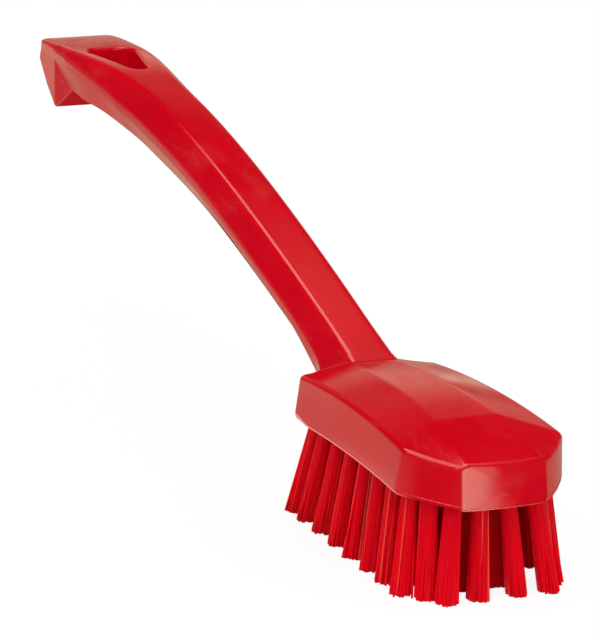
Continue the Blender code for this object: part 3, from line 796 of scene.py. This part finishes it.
def make_bristles(name, number, tips, slope, inner):
    """A bundle of filaments: evenly filled rings at the mouth, carried down the axis.

    A filament's offset grows with the distance down, it bows a little, and its tip is cut at its own height.
    Inner tufts are painted darker, as painted shade where the outer tufts keep light from them. The tuft's
    number starts its random draws.
    """
    chance = np.random.default_rng(number)
    ring_of = np.repeat(np.arange(len(FILAMENT_RINGS)), FILAMENT_RINGS)
    place = np.concatenate([np.arange(count) / count for count in FILAMENT_RINGS])
    angle = math.tau * (place + chance.random(len(FILAMENT_RINGS))[ring_of])
    reach = 1 - ring_of / len(FILAMENT_RINGS) - RING_SCATTER * chance.random(FILAMENT_COUNT)
    plan = corner(np.cos(angle) * reach, np.sin(angle) * reach, 0)
    mouth_z = underside_z(tips[0] - slope[0] * FREE_BRISTLE)
    root_z = mouth_z + ROOT_INSET
    tip_z = TIP_SCATTER * chance.random(FILAMENT_COUNT) ** 2
    share = np.linspace(0, 1, FILAMENT_STEPS)[:, None]
    height = mix(root_z, tip_z, share)
    stray = chance.random(FILAMENT_COUNT)[:, None] < STRAY_SHARE
    drift = chance.normal(0, BEND, (FILAMENT_COUNT, 3)) * (1, 1, 0) * np.where(stray, STRAY_BEND, 1)
    mouth = tips - slope * mouth_z
    axis = tips + (height[..., None] - tips[2]) * -slope + tip_shift(mouth) * share[..., None]
    spread = plan * (BUNDLE_RADIUS + BUNDLE_SPREAD * share[..., None])
    paths = axis + spread + drift * share[..., None] ** 2
    paths[..., 2] = height
    turn = np.linspace(0, math.tau, FILAMENT_SIDES, endpoint=False) + number
    ring = corner(np.cos(turn), np.sin(turn), 0) * FILAMENT_RADIUS
    grid = paths[:, :, None] + ring
    verts = grid.transpose(1, 0, 2, 3).reshape(-1, 3)
    per_filament = FILAMENT_STEPS * FILAMENT_SIDES
    sides = grid_faces(FILAMENT_STEPS, FILAMENT_SIDES)
    faces = []
    for strand in range(FILAMENT_COUNT):
        first = strand * per_filament
        faces += (sides + first).tolist()
        faces.append(list(range(first, first + FILAMENT_SIDES)))
        faces.append(list(range(first + per_filament - FILAMENT_SIDES, first + per_filament))[::-1])
    piece = add_piece(name, verts, faces)
    piece.data.shade_smooth()
    piece.data.set_sharp_from_angle(angle=FILAMENT_SHARP_ANGLE)
    shade = piece.data.attributes.new("filament", "FLOAT", "POINT")
    # Inner tufts draw darker shades: painted shade between the tufts.
    low, high = INNER_PAINTED_SHADE_TONES if inner else OUTER_SHADES
    shades = mix(low, high, chance.random(FILAMENT_COUNT))
    shade.data.foreach_set("value", np.repeat(shades, per_filament).astype(np.float32))
    return piece


# Materials

class Number:
    """A shader value: sums and products on it add Math nodes."""

    def __init__(self, sheet, socket):
        self.sheet = sheet
        self.socket = socket

    def maths(self, operation, *others):
        inputs = dict(enumerate((self, *others)))
        return self.sheet.node("ShaderNodeMath", {"operation": operation}, inputs).number()

    def __add__(self, other):
        return self.maths("ADD", other)

    def __mul__(self, other):
        return self.maths("MULTIPLY", other)

    def __sub__(self, other):
        return self.maths("SUBTRACT", other)

    def __rsub__(self, other):
        return (self * -1).maths("ADD", other)

    def __pow__(self, other):
        return self.maths("POWER", other)

    __radd__ = __add__
    __rmul__ = __mul__

    def between(self, low, high):
        """0 below low, 1 above high, and a smooth rise between."""
        settings = {"interpolation_type": "SMOOTHSTEP"}
        inputs = {"Value": self, "From Min": low, "From Max": high}
        return self.sheet.node("ShaderNodeMapRange", settings, inputs).number("Result")

    def band(self, start, full, ebb, end):
        """0 outside start and end, 1 from full to ebb, and a smooth rise and fall between."""
        return self.between(start, full) * self.between(end, ebb)


class Node:
    """A shader node, read through its outputs."""

    def __init__(self, sheet, node):
        self.sheet = sheet
        self.node = node

    def number(self, output=0):
        return Number(self.sheet, self.node.outputs[output])


class Sheet:
    """The nodes of one material or world."""

    def __init__(self, owner):
        owner.use_nodes = True
        self.tree = owner.node_tree

    def node(self, kind, settings=None, inputs=None):
        """Add a node, set it up, then give its sockets values or links."""
        made = self.tree.nodes.new(kind)
        for key, value in (settings or {}).items():
            if key == "stops":
                set_stops(made.color_ramp, value)
            else:
                setattr(made, key, value)
        self.feed(made, inputs or {})
        return Node(self, made)

    def feed(self, made, inputs):
        """Give a node's sockets plain values, or links from other nodes."""
        for key, value in inputs.items():
            socket = made.inputs[key]
            if isinstance(value, Node):
                value = value.number()
            if isinstance(value, Number):
                self.tree.links.new(value.socket, socket)
            else:
                socket.default_value = value

    def shader(self):
        return self.tree.nodes["Principled BSDF"]


def set_stops(ramp, stops):
    """A ramp's stops as pairs of place and grey level or colour."""
    while len(ramp.elements) > 1:
        ramp.elements.remove(ramp.elements[-1])
    for place, (position, colour) in enumerate(stops):
        element = ramp.elements[0] if place == 0 else ramp.elements.new(position)
        element.position = position
        element.color = colour if isinstance(colour, tuple) else (colour, colour, colour, 1)


def noise(sheet, coords, scale, detail=2.0, stretch=None):
    """Smooth noise between 0 and 1, drawn out along the axes whose stretch is below 1."""
    if stretch:
        coords = sheet.node("ShaderNodeMapping", {}, {"Vector": coords, "Scale": stretch}).number()
    inputs = {"Vector": coords, "Scale": scale, "Detail": detail}
    return sheet.node("ShaderNodeTexNoise", {}, inputs).number("Fac")


def colour_mix(sheet, share, first, second):
    """The colour that is a share of the way from the first to the second."""
    inputs = {"Factor": share, 6: first, 7: second}
    return sheet.node("ShaderNodeMix", {"data_type": "RGBA"}, inputs).number(2)


def vector_maths(sheet, operation, inputs):
    """A Vector Math node, which works on vectors and colours."""
    return sheet.node("ShaderNodeVectorMath", {"operation": operation}, inputs)


def hairlines(value):
    """1 on the thin lines where a noise passes its middle, and 0 beside them."""
    return (value - 0.5).maths("ABSOLUTE").between(HAIRLINE_HALF_WIDTH, 0.0)


def make_plastic():
    """Glossy red polypropylene with a fine skin, faint rub marks, hairline scratches, a few specks and a
    painted highlight along the flash.

    The scratches run along the brush, but level across its front wall.
    """
    material = bpy.data.materials.new("gloss_red_plastic")
    sheet = Sheet(material)
    coords = sheet.node("ShaderNodeTexCoord").number("Object")
    wave = noise(sheet, coords, scale=45, detail=3)
    rub = noise(sheet, coords, scale=140, detail=4, stretch=(0.22, 1, 1))
    skin = noise(sheet, coords, scale=1400, detail=1)
    patch = noise(sheet, coords, scale=60).between(*PATCH_EDGE)
    along = noise(sheet, coords, scale=260, detail=3, stretch=(0.04, 1, 1))
    across = noise(sheet, coords, scale=330, detail=3, stretch=(1, 0.05, 1))

    forward = sheet.node("ShaderNodeSeparateXYZ", {}, {0: coords}).number("X")
    front = forward.between(NOSE_X - LEVEL_SCRATCH_START, NOSE_X - LEVEL_SCRATCH_FULL)
    lengthwise = hairlines(along) * rub.between(*RUB_SCRATCHED) * (1 - front)
    scratch = lengthwise + hairlines(across) * patch * front
    specks = sheet.node("ShaderNodeTexVoronoi", {}, {"Vector": coords, "Scale": SPECKS_PER_METRE})
    drawn = sheet.node("ShaderNodeSeparateColor", {}, {"Color": specks.number("Color")}).number("Red")
    speck = specks.number("Distance").between(*SPECK_EDGE) * drawn.between(*SPECK_PICK)

    # The flash's attribute paints a pale line, a painted highlight, mixed in with the real wear.
    pale = sheet.node("ShaderNodeAttribute", {"attribute_name": "flash_highlight"}).number("Fac")
    scuff = patch * rub.between(*RUB_SCUFFED)
    wear_and_flash_highlight = SCRATCH_PALENESS * scratch + SPECK_PALENESS * speck + SCUFF_PALENESS * scuff
    wear_and_flash_highlight = (wear_and_flash_highlight + pale * skin.between(*SKIN_FLASH_HIGHLIGHT)).maths("MINIMUM", 1.0)
    colour = colour_mix(sheet, wave.between(*WAVE_SHADES), PLASTIC_DEEP_RED, PLASTIC_LIGHT_RED)
    colour = colour_mix(sheet, wear_and_flash_highlight, colour, PLASTIC_WORN_AND_HIGHLIGHT_RED)
    rough = PLASTIC_ROUGHNESS + RUB_ROUGHNESS * rub.between(*RUB_ROUGHENED)
    rough = rough + SCRATCH_ROUGHNESS * scratch + PATCH_ROUGHNESS * patch
    height = skin * SKIN_HEIGHT + wave * WAVE_HEIGHT - scratch * SCRATCH_DEPTH + speck * SPECK_HEIGHT
    inputs = {"Height": height, "Strength": 1.0, "Distance": RELIEF_UNIT}
    bump = sheet.node("ShaderNodeBump", {}, inputs)
    inputs = {"Base Color": colour, "Roughness": rough, "Normal": bump, "IOR": PLASTIC_IOR}
    sheet.feed(sheet.shader(), inputs)
    return material


def make_filament():
    """Red polyester filament: each strand a shade of its own, a few paler as a painted highlight, streaked
    along its length.
    """
    material = bpy.data.materials.new("red_filament")
    sheet = Sheet(material)
    coords = sheet.node("ShaderNodeTexCoord").number("Object")
    strand = sheet.node("ShaderNodeAttribute", {"attribute_name": "filament"}).number("Fac")
    streak = noise(sheet, coords, scale=300, stretch=(1, 1, 0.06))
    # Low values of the filament attribute are each strand's own tone and also the painted shade of the inner
    # tufts.
    colour = colour_mix(sheet, strand, FILAMENT_DEEP_RED, FILAMENT_BRIGHT_RED)
    # The paler strands are a painted highlight.
    colour = colour_mix(sheet, strand.between(*HIGHLIGHT_STRANDS), colour, FILAMENT_PAINTED_HIGHLIGHT_RED)
    rough = FILAMENT_ROUGHNESS + STREAK_ROUGHNESS * streak
    inputs = {"Height": streak, "Strength": STREAK_BUMP, "Distance": STREAK_HEIGHT}
    bump = sheet.node("ShaderNodeBump", {}, inputs)
    inputs = {"Base Color": colour, "Roughness": rough, "Normal": bump, "IOR": FILAMENT_IOR,
              "Subsurface Weight": FILAMENT_DEPTH_SHARE, "Subsurface Radius": FILAMENT_DEPTH_COLOURS,
              "Subsurface Scale": FILAMENT_DEPTH}
    sheet.feed(sheet.shader(), inputs)
    return material


# Stage

def toward(azimuth, elevation=0):
    """The direction at an azimuth and an elevation in degrees: azimuth 0 is along -Y and 90 along +X."""
    turn = math.radians(azimuth)
    rise = math.radians(elevation)
    return Vector((math.sin(turn) * math.cos(rise), -math.cos(turn) * math.cos(rise), math.sin(rise)))


def along_direction(sheet, coords, azimuth, elevation=0):
    """How far a vector reaches along the direction at an azimuth and an elevation."""
    inputs = {0: coords, 1: toward(azimuth, elevation)}
    return vector_maths(sheet, "DOT_PRODUCT", inputs).number("Value")


def lit_white(sheet, share, level):
    """White, or the slightly warm white of the softboxes by the share of glossy rays, at a level."""
    white = colour_mix(sheet, share, (1, 1, 1, 1), SOFTBOX_COLOUR)
    return vector_maths(sheet, "SCALE", {0: white, 3: level}).number()


def dark_front(sheet, direction):
    """1 for level directions in front of the nose, where the room is dark, and 0 elsewhere."""
    return along_direction(sheet, direction, DARK_FRONT_AZIMUTH).between(*DARK_FRONT_SPREAD)


def nose_glow(sheet, direction):
    """A lamp beside the camera, as bright as it shows in the front wall, that fades out towards its right."""
    spread = along_direction(sheet, direction, NOSE_LAMP_AZIMUTH).between(*NOSE_LAMP_SPREAD)
    return NOSE_LAMP_LEVEL * spread ** NOSE_LAMP_FALL


def with_nose_lamp(sheet, light, glow):
    """The light and, added to it, the glow of the lamp beside the camera in its cool colour."""
    lamp = vector_maths(sheet, "SCALE", {0: NOSE_LAMP_COLOUR, 3: glow}).number()
    return vector_maths(sheet, "ADD", {0: light, 1: lamp}).number()


def floor_glow(sheet, coords, direction):
    """The floor's brightness in reflections: bright to the left, behind and to the right, dark in front.

    A brighter stripe crosses the left side, and a close band lights the foot of the head's near wall.
    """
    leftward = along_direction(sheet, coords, 0)
    rearward = along_direction(sheet, coords, -90)
    from_edge = leftward + LEFT_SHIFT * rearward.between(*LEFT_SHIFT_RANGE)
    left = LEFT_LEVEL + STRIPE_LEVEL * rearward.band(*STRIPE_BAND)
    left = from_edge.between(*LEFT_START) * (left - LEFT_LOSS * leftward.between(*LEFT_LOSS_RANGE))
    close = CLOSE_LEVEL * leftward.band(*CLOSE_BAND) * rearward.between(*CLOSE_END)
    far = FAR_LEVEL * rearward.between(*FAR_START) * leftward.band(*FAR_BAND)
    right = leftward.between(*RIGHT_START) * (RIGHT_LEVEL + RIGHT_GAIN * leftward.between(*RIGHT_GAIN_RANGE))
    right = right * (1 - RIGHT_LOSS * leftward.between(*RIGHT_LOSS_RANGE))
    return (FLOOR_LEAST + left + close + far + right) * (1 - dark_front(sheet, direction))


def make_floor():
    """A pale floor: to the camera white with a faint shadow, in reflections as bright as floor_glow says."""
    half = FLOOR_HALF_WIDTH
    verts = np.array([(-half, -half, 0), (half, -half, 0), (half, half, 0), (-half, half, 0)], float)
    floor = add_piece("floor", verts, [[0, 1, 2, 3]])
    material = bpy.data.materials.new("pale_floor")
    sheet = Sheet(material)
    ground = Node(sheet, sheet.shader())
    sheet.feed(ground.node, {"Base Color": FLOOR_COLOUR, "Roughness": 1.0, "Specular IOR Level": 0.0})
    coords = sheet.node("ShaderNodeTexCoord").number("Object")
    from_head = vector_maths(sheet, "SUBTRACT", {0: coords, 1: HEAD_MIDDLE}).number()
    direction = vector_maths(sheet, "NORMALIZE", {0: from_head}).number()
    path = sheet.node("ShaderNodeLightPath")
    camera_ray = path.number("Is Camera Ray")
    glossy = path.number("Is Glossy Ray")
    level = camera_ray * FLOOR_SEEN_LEVEL + glossy * floor_glow(sheet, coords, direction)
    light = with_nose_lamp(sheet, lit_white(sheet, glossy, level), glossy * nose_glow(sheet, direction))
    lit = sheet.node("ShaderNodeEmission", {}, {"Color": light})
    inputs = {"Fac": camera_ray * FLOOR_WHITE_SHARE + glossy, 1: ground, 2: lit}
    both = sheet.node("ShaderNodeMixShader", {}, inputs)
    sheet.feed(sheet.tree.nodes["Material Output"], {"Surface": both})
    floor.data.materials.append(material)


def room_glow(sheet, coords):
    """The room's brightness in reflections: a ramp by height, in a low window behind and a high one beside.

    The horizon shines all round but in front, and a small lamp lights the handle's near top edge.
    """
    height = sheet.node("ShaderNodeSeparateXYZ", {}, {0: coords}).number("Z")
    behind = along_direction(sheet, coords, BEHIND_AZIMUTH)
    beside = along_direction(sheet, coords, BESIDE_AZIMUTH)
    ramp = sheet.node("ShaderNodeValToRGB", {"stops": ROOM_STOPS}, {0: height}).number()
    high = height.between(*HIGH_START)
    low_loss = beside.between(*LOW_WINDOW_LOSS_SIDE) * height.between(*LOW_WINDOW_LOSS_HEIGHT)
    low_window = behind.between(*LOW_WINDOW_SIDE) * (1 - LOW_WINDOW_LOSS * low_loss)
    high_window = beside.between(*HIGH_WINDOW_SIDE).maths("MAXIMUM", height.between(*HIGH_WINDOW_HEIGHT))
    high_loss = beside.between(*HIGH_WINDOW_LOSS_SIDE) * height.between(*HIGH_WINDOW_LOSS_HEIGHT)
    high_window = high_window * (1 - HIGH_WINDOW_LOSS * high_loss)
    windows = ramp * (high * high_window + (1 - high) * low_window)
    horizon = HORIZON_LEVEL * height.between(*HORIZON_HEIGHT) * (1 - dark_front(sheet, coords))
    edge_lamp = along_direction(sheet, coords, EDGE_LAMP_AZIMUTH, EDGE_LAMP_ELEVATION)
    glow = windows.maths("MAXIMUM", horizon) + EDGE_LAMP_LEVEL * edge_lamp.between(*EDGE_LAMP_SPREAD)
    return glow, nose_glow(sheet, coords) * height.between(*NOSE_LAMP_HEIGHT)


def make_world():
    """Even light on the object, white where it is seen, and in reflections as bright as room_glow says."""
    world = bpy.data.worlds.new("studio")
    bpy.context.scene.world = world
    sheet = Sheet(world)
    coords = sheet.node("ShaderNodeTexCoord").number("Generated")
    glow, nose = room_glow(sheet, coords)
    path = sheet.node("ShaderNodeLightPath")
    camera_ray = path.number("Is Camera Ray")
    glossy = path.number("Is Glossy Ray")
    fill = WORLD_LEVEL + FRONT_FILL * along_direction(sheet, coords, FRONT_FILL_AZIMUTH)
    level = camera_ray + glossy * glow + (1 - camera_ray) * (1 - glossy) * fill
    light = with_nose_lamp(sheet, lit_white(sheet, glossy, level), glossy * nose)
    sheet.feed(sheet.tree.nodes["Background"], {"Color": light, "Strength": 1.0})


def add_lamp(name, azimuth, elevation, distance, size, level):
    """A square softbox that faces the brush, seen from it at a brightness of level."""
    towards = toward(azimuth, elevation)
    light = bpy.data.lights.new(name, "AREA")
    light.shape = "SQUARE"
    light.size = size
    light.energy = level * math.pi * size ** 2
    light.color = SOFTBOX_COLOUR[:3]
    lamp = bpy.data.objects.new(name, light)
    lamp.location = LAMP_TARGET + towards * distance
    lamp.rotation_mode = "QUATERNION"
    lamp.rotation_quaternion = towards.to_track_quat("Z", "Y")
    bpy.context.scene.collection.objects.link(lamp)


def make_lamps():
    """One softbox almost overhead, and one high in front of the brush, a little to the camera's left."""
    add_lamp("overhead_softbox", azimuth=200, elevation=80, distance=1.3, size=0.8, level=0.5)
    add_lamp("front_softbox", azimuth=48, elevation=60, distance=1.3, size=0.7, level=2.4)


def make_camera():
    """The photo's view: its direction, its distance, its field and its slight roll."""
    back = toward(VIEW_AZIMUTH, VIEW_ELEVATION)
    level = toward(VIEW_AZIMUTH + 90)
    upright = back.cross(level)
    roll = math.radians(VIEW_ROLL)
    right = level * math.cos(roll) + upright * math.sin(roll)
    up = upright * math.cos(roll) - level * math.sin(roll)
    data = bpy.data.cameras.new("camera")
    data.sensor_width = SENSOR
    data.lens = FOCAL_PIXELS * SENSOR / IMAGE_LONG_SIDE
    camera = bpy.data.objects.new("camera", data)
    turn = Matrix((right, up, back)).transposed().to_4x4()
    camera.matrix_world = Matrix.Translation(VIEW_TARGET + back * VIEW_DISTANCE) @ turn
    bpy.context.scene.collection.objects.link(camera)
    bpy.context.scene.camera = camera


def main():
    """Make every piece, give it its finish, hide the CAD part that it stands in for and hang it on the root.
    """
    plastic = make_plastic()
    filament = make_filament()
    names = sorted(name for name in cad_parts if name.startswith("tuft_"))
    axes = [tuft_axis(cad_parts[name]) for name in names]

    grid = moulding_grid()
    moulding = make_moulding(grid, axes)
    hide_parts("handle_and_head")
    for piece in (moulding, make_flash_line(grid)):
        piece.data.materials.clear()
        piece.data.materials.append(plastic)
        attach(piece, "root")

    for number, (name, (tips, slope)) in enumerate(zip(names, axes), start=1):
        bristles = make_bristles(f"bristles_{number:02d}", number, tips, slope, is_inner(tips, slope))
        bristles.data.materials.append(filament)
        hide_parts(name)
        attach(bristles, "root")

    make_floor()
    make_world()
    make_lamps()
    make_camera()
    bpy.context.scene.view_settings.view_transform = "Standard"


main()
